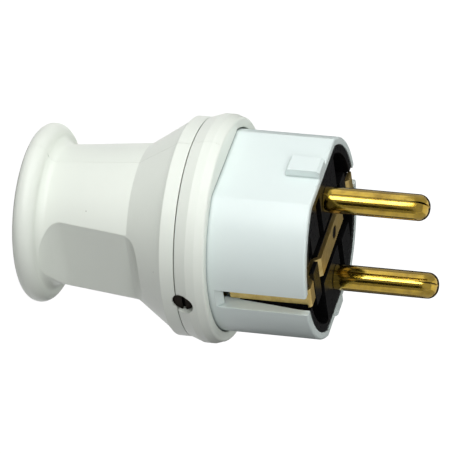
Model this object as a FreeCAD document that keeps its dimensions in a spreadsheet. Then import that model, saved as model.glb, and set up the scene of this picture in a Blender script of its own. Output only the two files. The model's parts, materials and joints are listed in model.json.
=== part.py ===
import FreeCAD, Part
import math
import os
import Sketcher

# A type F mains plug that can be wired by hand, standing on its rear flange with the pins upward.
# Millimetres. Z is the axis of the plug and z = 0 is the flat back of the flange.
# X runs through the two pins and Y through the two side earth contacts.

SIZES = [
    # Rear cover: flange, neck with two finger scoops, cone, band
    ("flange_radius", 16.5),
    ("flange_rim_round", 2.0),
    ("neck_root_round", 1.6),
    ("neck_rear_radius", 12.8),
    ("neck_front_radius", 14.4),
    ("cone_start", 21.4),
    ("cone_end", 28.5),
    ("band_corner", 0.8),
    ("cover_height", 31.9),
    ("scoop_rear_depth", 10.56),
    ("scoop_root_lift", 0.14),
    ("scoop_root_reach", 3.97),
    ("scoop_root_length", 4.46),
    ("scoop_root_round", 4.0),
    ("scoop_front_depth", 12.2),
    ("scoop_end", 21.1),
    ("scoop_ramp", 3.1),
    ("scoop_ramp_reach", 5.3),
    ("scoop_ramp_round", 6.0),
    # Rear cover: cable entry, cord passage, wiring chamber, threaded spigot
    ("cable_bore_radius", 4.75),
    ("cable_mouth_round", 0.8),
    ("back_wall", 4.0),
    ("cord_passage_radius", 9.3),
    ("chamber_floor_start", 21.0),
    ("chamber_floor_end", 29.8),
    ("spigot_wall", 3.3),
    ("spigot_step", 0.95),
    ("spigot_height", 3.45),
    # Front collar that screws on the spigot
    ("parting_gap", 0.2),
    ("thread_clearance", 0.1),
    ("collar_wall", 1.7),
    ("collar_rise", 0.75),
    ("collar_facet", 2.2),
    ("collar_crest", 1.6),
    ("collar_shoulder_drop", 0.4),
    ("collar_height", 5.5),
    ("collar_front_corner", 0.5),
    ("collar_lip", 1.15),
    ("shell_gap", 0.3),
    # Lock screw across the parting line
    ("lock_hole_radius", 2.05),
    ("lock_hole_ahead", 1.3),
    ("lock_hole_depth", 2.0),
    ("lock_screw_length", 2.5),
    ("lock_screw_clearance", 0.08),
    # Front shell: two flats, guide ribs, earth slots
    ("shell_radius", 18.35),
    ("shell_flat", 16.1),
    ("shell_flange_reach", 0.75),
    ("shell_front", 55.65),
    ("shell_wall", 1.3),
    ("shell_rim_round", 0.4),
    ("shell_corner_round", 0.7),
    ("bulkhead_rear", 39.5),
    ("bulkhead_thickness", 2.8),
    ("window_half_width", 13.3),
    ("window_half_depth", 6.8),
    ("rib_width", 3.8),
    ("rib_length", 6.3),
    ("rib_height", 1.6),
    ("rib_corner", 0.5),
    ("slot_width", 4.0),
    ("slot_length", 15.7),
    ("slot_ramp", 2.3),
    ("slot_relief", 1.2),
    ("slot_pocket_width", 6.0),
    ("slot_pocket_depth", 3.0),
    ("slot_cheek", 0.5),
    ("slot_cheek_clearance", 0.1),
    # Tongue of the shell that carries the cord clamp
    ("tongue_half_width", 6.4),
    ("tongue_top", 4.0),
    ("tongue_thickness", 1.8),
    ("tongue_end", 9.8),
    ("tongue_root_thickness", 2.2),
    ("tongue_root_reach", 1.1),
    # Pin carrier
    ("carrier_clearance", 0.15),
    ("carrier_recess", 0.1),
    ("carrier_ring_wall", 1.4),
    ("pocket_depth", 6.1),
    ("strap_web_margin", 0.2),
    ("pin_land_inside", 4.6),
    ("pin_land_short_end", 3.2),
    ("pin_land_long_end", 7.1),
    ("side_land_inside", 6.0),
    ("side_land_start", 6.0),
    ("side_land_end", 11.0),
    ("strap_bar_reach", 2.5),
    ("strap_bar_root", 5.2),
    ("strap_bar_start", 8.9),
    ("strap_bar_width", 3.2),
    # Pins
    ("pin_radius", 2.4),
    ("pin_spacing", 19.0),
    ("pin_reach", 19.0),
    ("pin_tip_round", 2.0),
    ("pin_shank_radius", 2.1),
    ("shank_clearance", 0.05),
    # Terminals and their screws
    ("terminal_width", 7.6),
    ("terminal_height", 7.5),
    ("shank_grip", 3.8),
    ("wire_hole_radius", 1.7),
    ("terminal_screw_offset", 2.0),
    ("terminal_screw_radius", 1.2),
    ("terminal_screw_length", 2.6),
    ("terminal_head_radius", 2.1),
    ("terminal_head_height", 1.6),
    # Earth strap, its screw and clamp plate
    ("strap_width", 4.2),
    ("strap_thickness", 0.7),
    ("strap_proud", 0.25),
    ("strap_leg_width", 2.8),
    ("strap_dip", 1.1),
    ("strap_dip_margin", 0.45),
    ("strap_dip_slope", 0.9),
    ("strap_bend_ease", 0.33),
    ("strap_leg_inset", 2.3),
    ("strap_leg_clearance", 0.85),
    ("strap_bar_clearance", 0.1),
    ("earth_offset", 1.7),
    ("earth_screw_radius", 1.2),
    ("earth_screw_tip_inset", 0.05),
    ("earth_head_radius", 2.1),
    ("earth_head_height", 1.5),
    ("earth_plate_width", 7.0),
    ("earth_plate_thickness", 1.0),
    # Cord clamp
    ("clamp_bar_rise", 3.1),
    ("clamp_bar_thickness", 1.8),
    ("clamp_bar_width", 6.6),
    ("clamp_bar_place", 15.4),
    ("clamp_ridge_radius", 0.8),
    ("clamp_screw_place", 4.7),
    ("clamp_screw_radius", 1.2),
    ("clamp_head_radius", 1.7),
    ("clamp_head_height", 1.2),
    # Screws that hold the carrier to the shell
    ("carrier_screw_across", 7.2),
    ("carrier_screw_inset", 6.45),
    ("carrier_screw_radius", 1.3),
    ("carrier_screw_bite", 4.0),
    ("carrier_head_radius", 2.3),
    ("carrier_head_height", 1.7),
    # Fits shared by every screw
    ("screw_clearance", 0.05),
    ("driver_slot_width", 0.6),
    ("driver_slot_depth", 0.7),
]

CUT_MARGIN = 1.0  # how far a cutting tool passes the face that it opens


class Size:
    """A length together with the sheet formula that gives it."""

    def __init__(self, number, formula):
        self.number = number
        self.formula = formula

    def __add__(self, other):
        other = as_size(other)
        return Size(self.number + other.number, f"({self.formula} + {other.formula})")

    def __radd__(self, other):
        return as_size(other) + self

    def __sub__(self, other):
        other = as_size(other)
        return Size(self.number - other.number, f"({self.formula} - {other.formula})")

    def __rsub__(self, other):
        return as_size(other) - self

    def __mul__(self, factor):
        return Size(self.number * factor, f"({self.formula} * {factor})")

    def __truediv__(self, divisor):
        return Size(self.number / divisor, f"({self.formula} / {divisor})")

    def __neg__(self):
        return Size(-self.number, f"(0 - {self.formula})")


def as_size(value):
    """A plain number as a Size; a Size as it is."""
    if isinstance(value, Size):
        return value
    return Size(float(value), str(value))


doc = FreeCAD.newDocument("type_f_plug")
sheet = doc.addObject("Spreadsheet::Sheet", "Sizes")
for row, (alias, millimetres) in enumerate(SIZES, start=1):
    sheet.set(f"A{row}", alias)
    sheet.set(f"B{row}", str(millimetres))
    sheet.setAlias(f"B{row}", alias)
doc.recompute()


def size(alias):
    """The driving dimension of that name in the sheet."""
    return Size(float(sheet.get(alias)), f"Sizes.{alias}")


def bind(thing, **sizes):
    """Bind properties of a document object to sheet formulas."""
    for name, value in sizes.items():
        thing.setExpression(name, as_size(value).formula)
    return thing


def place(thing, x=0, y=0, z=0, rotation=None):
    """Put an object at a place that the sheet gives, turned about its own origin."""
    if rotation is not None:
        thing.Placement = FreeCAD.Placement(FreeCAD.Vector(), rotation)
    thing.setExpression("Placement.Base.x", as_size(x).formula)
    thing.setExpression("Placement.Base.y", as_size(y).formula)
    thing.setExpression("Placement.Base.z", as_size(z).formula)
    return thing


ALONG_X = FreeCAD.Rotation(FreeCAD.Vector(0, 1, 0), 90)
ALONG_Y = FreeCAD.Rotation(FreeCAD.Vector(1, 0, 0), -90)
AGAINST_Y = FreeCAD.Rotation(FreeCAD.Vector(1, 0, 0), 90)


def rod(name, radius, length, x=0, y=0, z=0, rotation=None):
    """A round rod or hole that starts at the given place."""
    thing = bind(doc.addObject("Part::Cylinder", name), Radius=radius, Height=length)
    return place(thing, x, y, z, rotation)


def block(name, width, depth, height, x=0, y=0, z=0):
    """A rectangular block centred on x and y that stands on z."""
    thing = bind(doc.addObject("Part::Box", name), Length=width, Width=depth, Height=height)
    return place(thing, as_size(x) - as_size(width) / 2, as_size(y) - as_size(depth) / 2, z)


def joined(name, pieces):
    """Several shapes made one solid."""
    thing = doc.addObject("Part::MultiFuse", name)
    thing.Shapes = pieces
    thing.Refine = True
    return thing


def cut(name, base, tools):
    """A shape with one or more tools taken out of it."""
    thing = doc.addObject("Part::Cut", name)
    thing.Base = base
    thing.Tool = tools[0] if len(tools) == 1 else joined(f"{name}_tools", tools)
    thing.Refine = True
    return thing


def common(name, base, tool):
    """What two shapes share."""
    thing = doc.addObject("Part::Common", name)
    thing.Base = base
    thing.Tool = tool
    return thing


def double_d(name, radius, flat, height, z):
    """A round bar with flats on its +X and -X sides."""
    bar = rod(f"{name}_round", radius, height, z=z)
    flats = block(f"{name}_flats", as_size(flat) * 2, as_size(radius) * 2 + CUT_MARGIN, height, z=z)
    return common(name, bar, flats)


def rounded_bar(name, bar, top, rim_round, corner_round):
    """A flatted bar with its upright edges rounded, and then the rim at its top."""
    doc.recompute()
    corners = doc.addObject("Part::Fillet", f"{name}_corners")
    corners.Base = bar
    corners.Edges = [(index, corner_round.number, corner_round.number)
                     for index, edge in enumerate(bar.Shape.Edges, start=1)
                     if edge.BoundBox.ZLength > rim_round.number]
    doc.recompute()
    rim = doc.addObject("Part::Fillet", f"{name}_rim")
    rim.Base = corners
    rim.Edges = [(index, rim_round.number, rim_round.number)
                 for index, edge in enumerate(corners.Shape.Edges, start=1)
                 if edge.BoundBox.ZMin > top.number - rim_round.number]
    return rim


def origin_plane(body, role):
    """One of the body's own origin planes."""
    return next(item for item in body.Origin.OriginFeatures if item.Role == role)


def outline(body, name, plane, corners):
    """A closed sketch. A corner is (across, up), or (across, up, radius, side) where an arc arrives at it.

    The side is 1 where the arc's centre lies left of the way from the last corner, and -1 where it lies right.
    """
    sketch = body.newObject("Sketcher::SketchObject", name)
    sketch.AttachmentSupport = (origin_plane(body, plane), [""])
    sketch.MapMode = "FlatFace"
    points = [FreeCAD.Vector(as_size(c[0]).number, as_size(c[1]).number, 0) for c in corners]
    ends = []
    for index, corner in enumerate(corners):
        start, end = points[index - 1], points[index]
        if len(corner) == 2:
            edge = sketch.addGeometry(Part.LineSegment(start, end))
            ends.append((edge, 1, 2))
            continue
        radius, side = as_size(corner[2]), corner[3]
        chord = end - start
        left = FreeCAD.Vector(-chord.y, chord.x, 0).normalize()
        rise = math.sqrt(max(radius.number ** 2 - chord.Length ** 2 / 4, 0.0))
        centre = (start + end) / 2 + left * (side * rise)
        first, last = (start, end) if side > 0 else (end, start)
        circle = Part.Circle(centre, FreeCAD.Vector(0, 0, 1), radius.number)
        first_angle = math.atan2(first.y - centre.y, first.x - centre.x)
        last_angle = math.atan2(last.y - centre.y, last.x - centre.x)
        edge = sketch.addGeometry(Part.ArcOfCircle(circle, first_angle, last_angle))
        ends.append((edge, 1, 2) if side > 0 else (edge, 2, 1))
        rule = sketch.addConstraint(Sketcher.Constraint("Radius", edge, radius.number))
        sketch.setExpression(f"Constraints[{rule}]", radius.formula)
    for index, corner in enumerate(corners):
        edge, _, finish = ends[index]
        following, begin, _ = ends[(index + 1) % len(ends)]
        sketch.addConstraint(Sketcher.Constraint("Coincident", edge, finish, following, begin))
        for kind, value in (("DistanceX", corner[0]), ("DistanceY", corner[1])):
            value = as_size(value)
            rule = sketch.addConstraint(Sketcher.Constraint(kind, -1, 1, edge, finish, value.number))
            sketch.setExpression(f"Constraints[{rule}]", value.formula)
    return sketch


def turned(name, corners):
    """A solid turned about Z from a section of (radius, height) corners."""
    body = doc.addObject("PartDesign::Body", name)
    section = outline(body, f"{name}_section", "XZ_Plane", corners)
    turn = body.newObject("PartDesign::Revolution", f"{name}_turn")
    turn.Profile = section
    turn.ReferenceAxis = (section, ["V_Axis"])
    turn.Angle = 360
    return body


def padded(name, plane, corners, width):
    """A solid padded evenly to both sides of an origin plane."""
    body = doc.addObject("PartDesign::Body", name)
    section = outline(body, f"{name}_section", plane, corners)
    pad = body.newObject("PartDesign::Pad", f"{name}_pad")
    pad.Profile = section
    pad.Midplane = True
    bind(pad, Length=width)
    return body


def slotted_screw(name, radius, length, head_radius, head_height, x, y, z, rotation):
    """A cheese-head screw. It stands on the underside of its head, and its thread points along its axis."""
    slot_width = size("driver_slot_width")
    slot_depth = size("driver_slot_depth")
    thread = rod(f"{name}_thread", radius, length)
    head = rod(f"{name}_head", head_radius, head_height, z=-as_size(head_height))
    slot_length = as_size(head_radius) * 2 + CUT_MARGIN
    slot = block(f"{name}_slot", slot_length, slot_width, slot_depth + CUT_MARGIN,
                 z=-as_size(head_height) - CUT_MARGIN)
    screw = cut(f"{name}_screw", joined(f"{name}_blank", [thread, head]), [slot])
    return place(screw, x, y, z, rotation)


# Heights that several pieces share
parting_plane = size("cover_height")
collar_rear = parting_plane + size("parting_gap")
collar_front = collar_rear + size("collar_height")
spigot_end = parting_plane + size("spigot_height")
flange_front = collar_front - size("collar_lip")
shell_front = size("shell_front")
carrier_rear = size("bulkhead_rear") + size("bulkhead_thickness")
carrier_front = shell_front - size("carrier_recess")
strap_top = carrier_front + size("strap_proud")
strap_seat = strap_top - size("strap_thickness")
dip_top = strap_top - size("strap_dip")
dip_seat = dip_top - size("strap_thickness")
slot_end = shell_front - size("slot_length")

# Widths that several pieces share
shell_radius = size("shell_radius")
shell_flat = size("shell_flat")
cavity_radius = shell_radius - size("shell_wall")
cavity_flat = shell_flat - size("shell_wall")
leg_face = shell_radius - size("strap_leg_inset")
leg_back = leg_face - size("strap_thickness")
carrier_screw_along = cavity_radius - size("carrier_screw_inset")
half_spacing = size("pin_spacing") / 2
spigot_radius = shell_radius + size("shell_flange_reach")
band_radius = spigot_radius + size("spigot_step")
collar_bore = spigot_radius + size("thread_clearance")
collar_radius = collar_bore + size("collar_wall")
lock_floor = spigot_radius - size("lock_hole_depth")
lock_height = parting_plane + size("lock_hole_ahead")


def lock_hole(name):
    """The radial hole of the lock screw, partly in the cover and partly in the collar."""
    length = collar_radius - lock_floor + CUT_MARGIN
    return rod(name, size("lock_hole_radius"), length, y=lock_floor, z=lock_height, rotation=ALONG_Y)


def rear_cover():
    """Moulded grip: flange, neck, cone and band outside; cable bore, cord passage and chamber inside."""
    rim = size("flange_rim_round")
    rim_inside = size("flange_radius") - rim
    root = size("neck_root_round")
    neck = size("neck_rear_radius")
    corner = size("band_corner")
    bore = size("cable_bore_radius")
    mouth = size("cable_mouth_round")
    chamber = spigot_radius - size("spigot_wall")
    grip = turned("cover_grip", [
        (bore, mouth),
        (bore + mouth, 0, mouth, -1),
        (rim_inside, 0),
        (rim_inside + rim, rim, rim, 1),
        (rim_inside, rim * 2, rim, 1),
        (neck + root, rim * 2),
        (neck, rim * 2 + root, root, -1),
        (size("neck_front_radius"), size("cone_start")),
        (band_radius - corner, size("cone_end")),
        (band_radius, size("cone_end") + corner),
        (band_radius, parting_plane),
        (spigot_radius, parting_plane),
        (spigot_radius, spigot_end),
        (chamber, spigot_end),
        (chamber, size("chamber_floor_end")),
        (size("cord_passage_radius"), size("chamber_floor_start")),
        (size("cord_passage_radius"), size("back_wall")),
        (bore, size("back_wall")),
    ])
    rear_depth = size("scoop_rear_depth")
    front_depth = size("scoop_front_depth")
    root_start = rim * 2 + size("scoop_root_lift")
    ramp_end = size("scoop_end") + size("scoop_ramp")
    outside = band_radius + CUT_MARGIN
    scoops = []
    for side in (1, -1):
        scoops.append(padded(f"cover_scoop_{'near' if side > 0 else 'far'}", "YZ_Plane", [
            (front_depth * side, size("scoop_end")),
            ((front_depth + size("scoop_ramp_reach")) * side, ramp_end, size("scoop_ramp_round"), -side),
            (outside * side, ramp_end),
            (outside * side, root_start),
            ((rear_depth + size("scoop_root_reach")) * side, root_start),
            (rear_depth * side, root_start + size("scoop_root_length"), size("scoop_root_round"), -side),
        ], band_radius * 2))
    return cut("cover", grip, scoops + [lock_hole("cover_lock_hole")])


def front_collar():
    """Screwed collar whose lip holds the shell's flange against the spigot."""
    shoulder = collar_radius - size("collar_shoulder_drop")
    corner = size("collar_front_corner")
    lip_inside = shell_flat - size("shell_wall")
    ring = turned("collar_ring", [
        (collar_bore, collar_rear),
        (collar_radius - size("collar_rise"), collar_rear),
        (collar_radius, collar_rear + size("collar_facet")),
        (collar_radius, collar_rear + size("collar_facet") + size("collar_crest")),
        (shoulder, collar_front - corner),
        (shoulder - corner, collar_front, corner, 1),
        (lip_inside, collar_front),
        (lip_inside, flange_front),
        (collar_bore, flange_front),
    ])
    gap = size("shell_gap")
    mouth = double_d("collar_mouth", shell_radius + gap, shell_flat + gap, size("collar_lip") + CUT_MARGIN * 2,
                     flange_front - CUT_MARGIN)
    return cut("collar", ring, [mouth, lock_hole("collar_lock_hole")])


def guide_rib(name, side):
    """Chamfered rib at the front of one flat, which guides the plug into a socket."""
    corner = size("rib_corner")
    rear = shell_front - size("rib_length")
    face = shell_flat + size("rib_height")
    foot = shell_flat - size("shell_wall") / 2
    corners = [
        (foot * side, rear),
        ((face - corner) * side, rear),
        (face * side, rear + corner),
        (face * side, shell_front - corner),
        ((face - corner) * side, shell_front),
        (foot * side, shell_front),
    ]
    return padded(name, "XZ_Plane", corners, size("rib_width"))


def earth_slot(name, side):
    """Slot through the shell wall, open at the front, sloping at its rear end.

    Behind the contact it goes on through the bulkhead into the wiring chamber.
    """
    outside = shell_radius + CUT_MARGIN
    inside = leg_back - size("slot_relief")
    through = size("bulkhead_rear") - CUT_MARGIN
    corners = [
        (inside * side, through),
        (cavity_radius * side, through),
        (cavity_radius * side, slot_end),
        (outside * side, slot_end - size("slot_ramp")),
        (outside * side, shell_front + CUT_MARGIN),
        (inside * side, shell_front + CUT_MARGIN),
    ]
    return padded(name, "YZ_Plane", corners, size("slot_width"))


def slot_pocket(name, side):
    """Wider part of that way into the wiring chamber, further in than the contact."""
    depth = size("slot_pocket_depth")
    return block(name, size("slot_pocket_width"), depth, size("bulkhead_thickness") + CUT_MARGIN,
                 y=(leg_back - depth / 2) * side, z=size("bulkhead_rear") - CUT_MARGIN)


def slot_cheek(name, side, edge):
    """Wedge inside the shell along one edge of a slot, deepest at the slot's rear end."""
    anchor = cavity_radius + size("shell_wall") / 2
    wedge = padded(name, "YZ_Plane", [
        ((leg_back + size("slot_cheek_clearance")) * side, slot_end),
        (anchor * side, slot_end),
        (anchor * side, strap_seat),
        (cavity_radius * side, strap_seat),
    ], size("slot_cheek"))
    return place(wedge, x=(size("slot_width") + size("slot_cheek")) / 2 * edge)


def clamp_screw_place(side):
    """Where one cord clamp screw stands across the tongue."""
    return size("clamp_screw_place") * side


def front_shell():
    """Moulded shell with two flats, a rear flange, a bulkhead for the carrier and the cord clamp's tongue."""
    flange = rod("shell_flange", spigot_radius, flange_front - spigot_end, z=spigot_end)
    bar = double_d("shell_bar", shell_radius, shell_flat, shell_front - spigot_end, spigot_end)
    tube = rounded_bar("shell_tube", bar, shell_front, size("shell_rim_round"), size("shell_corner_round"))
    ribs = [guide_rib("shell_rib_live", 1), guide_rib("shell_rib_neutral", -1)]
    cavity = double_d("shell_cavity", cavity_radius, cavity_flat, shell_front - spigot_end + CUT_MARGIN * 2,
                      spigot_end - CUT_MARGIN)
    walls = cut("shell_walls", joined("shell_outside", [flange, tube] + ribs), [cavity])
    bulkhead_plate = double_d("shell_bulkhead_plate", cavity_radius + size("shell_wall") / 2,
                              cavity_flat + size("shell_wall") / 2, size("bulkhead_thickness"),
                              size("bulkhead_rear"))
    window = block("shell_window", size("window_half_width") * 2, size("window_half_depth") * 2,
                   size("bulkhead_thickness") + CUT_MARGIN * 2, z=size("bulkhead_rear") - CUT_MARGIN)
    bulkhead = cut("shell_bulkhead", bulkhead_plate, [window])
    tongue_middle = -(size("tongue_top") + size("tongue_thickness") / 2)
    tongue_width = size("tongue_half_width") * 2
    tongue = block("shell_tongue", tongue_width, size("tongue_thickness"),
                   size("bulkhead_rear") - size("tongue_end"), y=tongue_middle, z=size("tongue_end"))
    root_depth = size("window_half_depth") + size("tongue_root_reach") - size("tongue_top")
    root_middle = -(size("tongue_top") + root_depth / 2)
    root = block("shell_tongue_root", tongue_width, root_depth, size("tongue_root_thickness"), y=root_middle,
                 z=size("bulkhead_rear") - size("tongue_root_thickness"))
    cheeks = []
    for name, side in (("near", 1), ("far", -1)):
        cheeks.append(slot_cheek(f"shell_cheek_{name}_live", side, 1))
        cheeks.append(slot_cheek(f"shell_cheek_{name}_neutral", side, -1))
    whole = joined("shell_whole", [walls, bulkhead, tongue, root] + cheeks)
    tools = [earth_slot("shell_slot_near", 1), earth_slot("shell_slot_far", -1)]
    for name, side in (("near", 1), ("far", -1)):
        tools.append(slot_pocket(f"shell_pocket_{name}", side))
        tools.append(rod(f"shell_carrier_hole_{name}", size("carrier_screw_radius") + size("screw_clearance"),
                         size("bulkhead_thickness") + CUT_MARGIN * 2, x=size("carrier_screw_across") * side,
                         y=carrier_screw_along * side, z=size("bulkhead_rear") - CUT_MARGIN))
        tools.append(rod(f"shell_clamp_hole_{name}", size("clamp_screw_radius") + size("screw_clearance"),
                         size("tongue_thickness") + CUT_MARGIN * 2, x=clamp_screw_place(side),
                         y=-(size("tongue_top") + size("tongue_thickness") + CUT_MARGIN),
                         z=size("clamp_bar_place"), rotation=ALONG_Y))
    return cut("shell", whole, tools)


def carrier_land(name, side, inside, outside, start, end, core):
    """A raised flat of the carrier's face, given for the live half and turned round for the neutral one."""
    height = size("pocket_depth")
    flat = block(f"{name}_blank", outside - inside, end - start, height, x=(inside + outside) / 2 * side,
                 y=(start + end) / 2 * side, z=carrier_front - height)
    return common(name, flat, core)


def pin_carrier():
    """Black insert that holds the pins and the earth strap: a ring, lands and a web in deep pockets."""
    clearance = size("carrier_clearance")
    radius = cavity_radius - clearance
    flat = cavity_flat - clearance
    height = carrier_front - carrier_rear
    ring = size("carrier_ring_wall")
    insert = double_d("carrier_insert", radius, flat, height, carrier_rear)
    hollow = double_d("carrier_hollow", radius - ring, flat - ring, size("pocket_depth") + CUT_MARGIN,
                      carrier_front - size("pocket_depth"))
    cup = cut("carrier_cup", insert, [hollow])
    web_width = size("strap_width") + size("strap_web_margin") * 2
    web_floor = carrier_front - size("pocket_depth")
    inside_ring = (radius - ring / 2) * 2
    raised = [block("carrier_web", web_width, inside_ring, strap_seat - web_floor, z=web_floor)]
    core = double_d("carrier_core", radius - ring / 2, flat - ring / 2, height, carrier_rear)
    for pole, side in (("live", 1), ("neutral", -1)):
        raised.append(carrier_land(f"carrier_land_{pole}", side, size("pin_land_inside"), flat - ring / 2,
                                   -size("pin_land_long_end"), size("pin_land_short_end"), core))
        raised.append(carrier_land(f"carrier_side_land_{pole}", side, size("side_land_inside"), flat - ring / 2,
                                   size("side_land_start"), size("side_land_end"), core))
    solid = joined("carrier_solid", [cup] + raised)
    tools = []
    dip_margin = size("strap_dip_margin") + size("strap_dip_slope") + size("strap_bend_ease")
    dip_start = size("strap_bar_start") - dip_margin
    dip_length = size("strap_bar_width") + dip_margin * 2
    groove_width = size("slot_width") + (size("slot_cheek") + size("slot_cheek_clearance")) * 2
    for name, side in (("near", 1), ("far", -1)):
        dip_depth = size("strap_dip") + CUT_MARGIN
        tools.append(block(f"carrier_dip_{name}", web_width + CUT_MARGIN, dip_length, dip_depth,
                           y=(dip_start + dip_length / 2) * side, z=dip_seat))
        groove_depth = radius - leg_back + CUT_MARGIN
        tools.append(block(f"carrier_groove_{name}", groove_width, groove_depth, height + CUT_MARGIN * 2,
                           y=(leg_back + groove_depth / 2) * side, z=carrier_rear - CUT_MARGIN))
        notch_height = size("strap_thickness") + CUT_MARGIN
        tools.append(block(f"carrier_notch_{name}", web_width, radius - dip_start, notch_height,
                           y=(radius + dip_start) / 2 * side, z=strap_seat))
        tools.append(rod(f"carrier_screw_hole_{name}", size("carrier_screw_radius") + size("screw_clearance"),
                         size("carrier_screw_bite") + CUT_MARGIN * 1.5, x=size("carrier_screw_across") * side,
                         y=carrier_screw_along * side, z=carrier_rear - CUT_MARGIN))
    for name, side in (("live", 1), ("neutral", -1)):
        tools.append(rod(f"carrier_pin_hole_{name}", size("pin_shank_radius") + size("shank_clearance"),
                         height + CUT_MARGIN * 2, x=half_spacing * side, z=carrier_rear - CUT_MARGIN))
    tools.append(rod("carrier_earth_hole", size("earth_screw_radius") + size("screw_clearance"),
                     height + CUT_MARGIN * 2, y=-size("earth_offset"), z=carrier_rear - CUT_MARGIN))
    moulding = cut("carrier_moulding", solid, tools)
    hooks = []
    for name, side in (("near", 1), ("far", -1)):
        middle = (size("strap_bar_start") + size("strap_bar_width") / 2) * side
        under = dip_top + size("strap_bar_clearance")
        reach = size("strap_bar_reach") + size("strap_bar_root")
        hooks.append(block(f"carrier_bar_{name}", reach, size("strap_bar_width"), carrier_front - under,
                           x=(size("strap_bar_reach") - size("strap_bar_root")) / 2 * side, y=middle, z=under))
        post_inside = web_width / 2
        post_width = size("strap_bar_root") - post_inside
        post_middle = -(size("strap_bar_root") + post_inside) / 2
        hooks.append(block(f"carrier_post_{name}", post_width, size("strap_bar_width"),
                           size("pocket_depth"), x=post_middle * side, y=middle,
                           z=web_floor))
    return joined("carrier", [moulding] + hooks)


def contact_pin(name, side):
    """Round pin with a domed tip, and a thinner shank that reaches back into its terminal."""
    tip = shell_front + size("pin_reach")
    dome = size("pin_tip_round")
    shank_end = carrier_rear - size("shank_grip")
    pin = turned(name, [
        (0, shank_end),
        (size("pin_shank_radius"), shank_end),
        (size("pin_shank_radius"), carrier_front),
        (size("pin_radius"), carrier_front),
        (size("pin_radius"), tip - dome),
        (size("pin_radius") - dome, tip, dome, 1),
        (0, tip),
    ])
    return place(pin, x=half_spacing * side)


def terminal(name, side):
    """Brass block on the end of a pin, with a wire hole from behind and a clamping screw from the side."""
    width = size("terminal_width")
    height = size("terminal_height")
    rear = carrier_rear - height
    x = half_spacing * side
    body = block(f"{name}_body", width, width, height, x=x, z=rear)
    shank = rod(f"{name}_shank_hole", size("pin_shank_radius") + size("shank_clearance"),
                size("shank_grip") + CUT_MARGIN, x=x, z=carrier_rear - size("shank_grip"))
    wire = rod(f"{name}_wire_hole", size("wire_hole_radius"), height - size("shank_grip") + CUT_MARGIN,
               x=x, z=rear - CUT_MARGIN)
    tapped = rod(f"{name}_tapped_hole", size("terminal_screw_radius") + size("screw_clearance"),
                 width / 2 + CUT_MARGIN, x=x, z=rear + size("terminal_screw_offset"), rotation=ALONG_Y)
    return cut(name, body, [shank, wire, tapped])


def terminal_screw(name, side):
    """Screw that clamps a wire in its terminal."""
    return slotted_screw(name, size("terminal_screw_radius"), size("terminal_screw_length"),
                         size("terminal_head_radius"), size("terminal_head_height"), half_spacing * side,
                         size("terminal_width") / 2,
                         carrier_rear - size("terminal_height") + size("terminal_screw_offset"), AGAINST_Y)


def earth_strap():
    """Brass strip across the face, which dips under the carrier's bars and bends into a contact at each end."""
    bend = size("strap_thickness")
    ease = size("strap_bend_ease")
    slope = size("strap_dip_slope")
    leg_end = slot_end + size("strap_leg_clearance")
    dip_start = size("strap_bar_start") - size("strap_dip_margin")
    dip_end = size("strap_bar_start") + size("strap_bar_width") + size("strap_dip_margin")
    upper = [(dip_end + slope, strap_top), (dip_end, dip_top), (dip_start, dip_top),
             (dip_start - slope, strap_top)]
    lower = [(dip_start - slope - ease, strap_seat), (dip_start - ease, dip_seat), (dip_end + ease, dip_seat),
             (dip_end + slope + ease, strap_seat)]
    strip = padded("strap_strip", "YZ_Plane", [
        (leg_back, leg_end),
        (leg_face, leg_end),
        (leg_face, strap_seat),
        (leg_back, strap_top, bend, 1),
        *upper,
        *[(-across, up) for across, up in reversed(upper)],
        (-leg_back, strap_top),
        (-leg_face, strap_seat, bend, 1),
        (-leg_face, leg_end),
        (-leg_back, leg_end),
        (-leg_back, strap_seat),
        *[(-across, up) for across, up in reversed(lower)],
        *lower,
        (leg_back, strap_seat),
    ], size("strap_width"))
    trim = (size("strap_width") - size("strap_leg_width")) / 2
    tools = []
    for name, side in (("live", 1), ("neutral", -1)):
        for end, along in (("near", 1), ("far", -1)):
            tools.append(block(f"strap_trim_{name}_{end}", trim + CUT_MARGIN, (leg_face - leg_back) * 2,
                               strap_seat - leg_end + CUT_MARGIN,
                               x=(size("strap_leg_width") / 2 + (trim + CUT_MARGIN) / 2) * side,
                               y=leg_face * along, z=leg_end - CUT_MARGIN))
    tools.append(rod("strap_hole", size("earth_screw_radius") + size("screw_clearance"),
                     size("strap_thickness") + CUT_MARGIN * 2, y=-size("earth_offset"),
                     z=strap_seat - CUT_MARGIN))
    return cut("strap", strip, tools)


def earth_clamp_plate():
    """Square plate that presses the earth wire against the back of the carrier."""
    width = size("earth_plate_width")
    rear = carrier_rear - size("earth_plate_thickness")
    plate = block("earth_plate_blank", width, width, size("earth_plate_thickness"), y=-size("earth_offset"),
                  z=rear)
    hole = rod("earth_plate_hole", size("earth_screw_radius") + size("screw_clearance"),
               size("earth_plate_thickness") + CUT_MARGIN * 2, y=-size("earth_offset"), z=rear - CUT_MARGIN)
    return cut("earth_plate", plate, [hole])


def earth_screw():
    """Screw from behind that clamps the earth wire and threads into the strap."""
    seat = carrier_rear - size("earth_plate_thickness")
    length = strap_top - size("earth_screw_tip_inset") - seat
    return slotted_screw("earth_bolt", size("earth_screw_radius"), length, size("earth_head_radius"),
                         size("earth_head_height"), 0, -size("earth_offset"), seat, FreeCAD.Rotation())


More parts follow.
